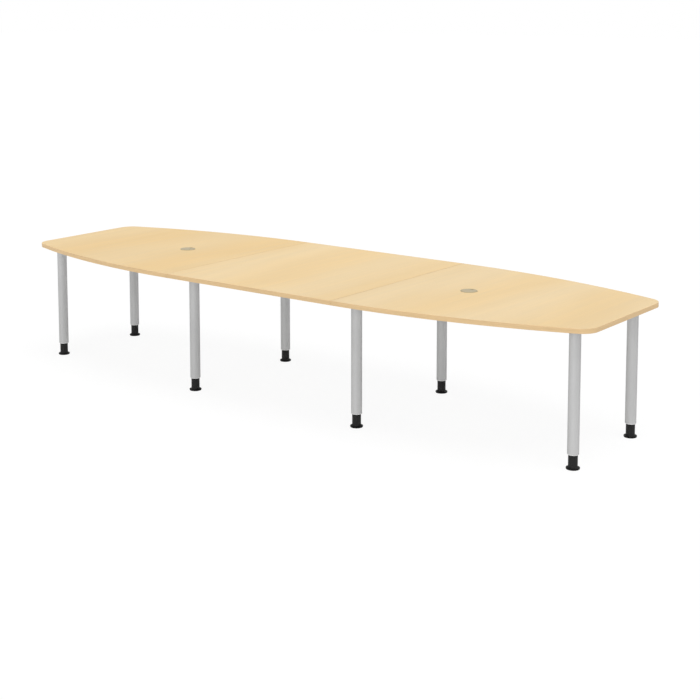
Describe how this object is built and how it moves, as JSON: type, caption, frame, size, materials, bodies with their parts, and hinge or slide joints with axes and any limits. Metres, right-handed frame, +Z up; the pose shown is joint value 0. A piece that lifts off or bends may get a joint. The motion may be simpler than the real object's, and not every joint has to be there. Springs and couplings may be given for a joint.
{
  "type": "conference table",
  "caption": "Boat-shaped conference table: a jointed maple-coloured top with round cable outlets, on round silver tube legs with black screw feet that set its height.",
  "frame": {"origin": "on the floor under the middle of the top", "axes": "+X along the length, +Y from the pictured long side towards the far one, +Z up"},
  "size_m": [4, 1.3, 0.743],
  "materials": {
    "maple_board": "satin melamine face in pale maple",
    "maple_edge": "satin plastic edge band in maple",
    "silver_tube": "satin silver powder coat",
    "zinc_fitting": "zinc-plated steel",
    "grey_plastic": "fine-grained grey plastic",
    "black_plastic": "satin black plastic",
    "glide_pad": "matt black pad"
  },
  "bodies": {
    "table_frame": {"top_left": "maple_board", "top_middle": "maple_board", "top_right": "maple_board", "edge_band_left": "maple_edge", "edge_band_middle": "maple_edge", "edge_band_right": "maple_edge", "seam_link_left": "zinc_fitting", "seam_link_right": "zinc_fitting", "outlet_sleeve_left": "grey_plastic", "outlet_sleeve_right": "grey_plastic", "leg_socket_end_left_front": "zinc_fitting", "leg_tube_end_left_front": "silver_tube", "guide_bush_end_left_front": "grey_plastic", "leg_socket_end_left_back": "zinc_fitting", "leg_tube_end_left_back": "silver_tube", "guide_bush_end_left_back": "grey_plastic", "leg_socket_end_right_front": "zinc_fitting", "leg_tube_end_right_front": "silver_tube", "guide_bush_end_right_front": "grey_plastic", "leg_socket_end_right_back": "zinc_fitting", "leg_tube_end_right_back": "silver_tube", "guide_bush_end_right_back": "grey_plastic", "leg_socket_seam_left_front": "zinc_fitting", "leg_tube_seam_left_front": "silver_tube", "guide_bush_seam_left_front": "grey_plastic", "leg_socket_seam_left_back": "zinc_fitting", "leg_tube_seam_left_back": "silver_tube", "guide_bush_seam_left_back": "grey_plastic", "leg_socket_seam_right_front": "zinc_fitting", "leg_tube_seam_right_front": "silver_tube", "guide_bush_seam_right_front": "grey_plastic", "leg_socket_seam_right_back": "zinc_fitting", "leg_tube_seam_right_back": "silver_tube", "guide_bush_seam_right_back": "grey_plastic"},
    "glide_unit_end_left_front": {"glide_end_left_front": "glide_pad"},
    "foot_unit_end_left_front": {"foot_end_left_front": "black_plastic", "spindle_end_left_front": "zinc_fitting"},
    "glide_unit_end_left_back": {"glide_end_left_back": "glide_pad"},
    "foot_unit_end_left_back": {"foot_end_left_back": "black_plastic", "spindle_end_left_back": "zinc_fitting"},
    "glide_unit_end_right_front": {"glide_end_right_front": "glide_pad"},
    "foot_unit_end_right_front": {"foot_end_right_front": "black_plastic", "spindle_end_right_front": "zinc_fitting"},
    "glide_unit_end_right_back": {"glide_end_right_back": "glide_pad"},
    "foot_unit_end_right_back": {"foot_end_right_back": "black_plastic", "spindle_end_right_back": "zinc_fitting"},
    "glide_unit_seam_left_front": {"glide_seam_left_front": "glide_pad"},
    "foot_unit_seam_left_front": {"foot_seam_left_front": "black_plastic", "spindle_seam_left_front": "zinc_fitting"},
    "glide_unit_seam_left_back": {"glide_seam_left_back": "glide_pad"},
    "foot_unit_seam_left_back": {"foot_seam_left_back": "black_plastic", "spindle_seam_left_back": "zinc_fitting"},
    "glide_unit_seam_right_front": {"glide_seam_right_front": "glide_pad"},
    "foot_unit_seam_right_front": {"foot_seam_right_front": "black_plastic", "spindle_seam_right_front": "zinc_fitting"},
    "glide_unit_seam_right_back": {"glide_seam_right_back": "glide_pad"},
    "foot_unit_seam_right_back": {"foot_seam_right_back": "black_plastic", "spindle_seam_right_back": "zinc_fitting"},
    "lid_unit_left": {"outlet_lid_left": "grey_plastic"},
    "lid_unit_right": {"outlet_lid_right": "grey_plastic"}
  },
  "joints": [
    {"name": "foot_lift_end_left_front", "type": "slide", "parent": "table_frame", "child": "glide_unit_end_left_front", "axis": [0, 0, 1], "range_m": [-0.032, 0.048]},
    {"name": "foot_turn_end_left_front", "type": "hinge", "parent": "glide_unit_end_left_front", "child": "foot_unit_end_left_front", "pos_m": [-1.87, -0.32046, 0], "axis": [0, 0, 1], "range_deg": [-5760, 8640]},
    {"name": "foot_lift_end_left_back", "type": "slide", "parent": "table_frame", "child": "glide_unit_end_left_back", "axis": [0, 0, 1], "range_m": [-0.032, 0.048]},
    {"name": "foot_turn_end_left_back", "type": "hinge", "parent": "glide_unit_end_left_back", "child": "foot_unit_end_left_back", "pos_m": [-1.87, 0.32046, 0], "axis": [0, 0, 1], "range_deg": [-5760, 8640]},
    {"name": "foot_lift_end_right_front", "type": "slide", "parent": "table_frame", "child": "glide_unit_end_right_front", "axis": [0, 0, 1], "range_m": [-0.032, 0.048]},
    {"name": "foot_turn_end_right_front", "type": "hinge", "parent": "glide_unit_end_right_front", "child": "foot_unit_end_right_front", "pos_m": [1.87, -0.32046, 0], "axis": [0, 0, 1], "range_deg": [-5760, 8640]},
    {"name": "foot_lift_end_right_back", "type": "slide", "parent": "table_frame", "child": "glide_unit_end_right_back", "axis": [0, 0, 1], "range_m": [-0.032, 0.048]},
    {"name": "foot_turn_end_right_back", "type": "hinge", "parent": "glide_unit_end_right_back", "child": "foot_unit_end_right_back", "pos_m": [1.87, 0.32046, 0], "axis": [0, 0, 1], "range_deg": [-5760, 8640]},
    {"name": "foot_lift_seam_left_front", "type": "slide", "parent": "table_frame", "child": "glide_unit_seam_left_front", "axis": [0, 0, 1], "range_m": [-0.032, 0.048]},
    {"name": "foot_turn_seam_left_front", "type": "hinge", "parent": "glide_unit_seam_left_front", "child": "foot_unit_seam_left_front", "pos_m": [-0.6, -0.42, 0], "axis": [0, 0, 1], "range_deg": [-5760, 8640]},
    {"name": "foot_lift_seam_left_back", "type": "slide", "parent": "table_frame", "child": "glide_unit_seam_left_back", "axis": [0, 0, 1], "range_m": [-0.032, 0.048]},
    {"name": "foot_turn_seam_left_back", "type": "hinge", "parent": "glide_unit_seam_left_back", "child": "foot_unit_seam_left_back", "pos_m": [-0.6, 0.42, 0], "axis": [0, 0, 1], "range_deg": [-5760, 8640]},
    {"name": "foot_lift_seam_right_front", "type": "slide", "parent": "table_frame", "child": "glide_unit_seam_right_front", "axis": [0, 0, 1], "range_m": [-0.032, 0.048]},
    {"name": "foot_turn_seam_right_front", "type": "hinge", "parent": "glide_unit_seam_right_front", "child": "foot_unit_seam_right_front", "pos_m": [0.6, -0.42, 0], "axis": [0, 0, 1], "range_deg": [-5760, 8640]},
    {"name": "foot_lift_seam_right_back", "type": "slide", "parent": "table_frame", "child": "glide_unit_seam_right_back", "axis": [0, 0, 1], "range_m": [-0.032, 0.048]},
    {"name": "foot_turn_seam_right_back", "type": "hinge", "parent": "glide_unit_seam_right_back", "child": "foot_unit_seam_right_back", "pos_m": [0.6, 0.42, 0], "axis": [0, 0, 1], "range_deg": [-5760, 8640]},
    {"name": "lid_lift_left", "type": "slide", "parent": "table_frame", "child": "lid_unit_left", "axis": [0, 0, 1], "range_m": [0, 0.03]},
    {"name": "lid_lift_right", "type": "slide", "parent": "table_frame", "child": "lid_unit_right", "axis": [0, 0, 1], "range_m": [0, 0.03]}
  ],
  "couplings": [
    {"joint": "foot_lift_end_left_front", "follows": "foot_turn_end_left_front", "m_per_rad": 0.00031831},
    {"joint": "foot_lift_end_left_back", "follows": "foot_turn_end_left_back", "m_per_rad": 0.00031831},
    {"joint": "foot_lift_end_right_front", "follows": "foot_turn_end_right_front", "m_per_rad": 0.00031831},
    {"joint": "foot_lift_end_right_back", "follows": "foot_turn_end_right_back", "m_per_rad": 0.00031831},
    {"joint": "foot_lift_seam_left_front", "follows": "foot_turn_seam_left_front", "m_per_rad": 0.00031831},
    {"joint": "foot_lift_seam_left_back", "follows": "foot_turn_seam_left_back", "m_per_rad": 0.00031831},
    {"joint": "foot_lift_seam_right_front", "follows": "foot_turn_seam_right_front", "m_per_rad": 0.00031831},
    {"joint": "foot_lift_seam_right_back", "follows": "foot_turn_seam_right_back", "m_per_rad": 0.00031831}
  ]
}
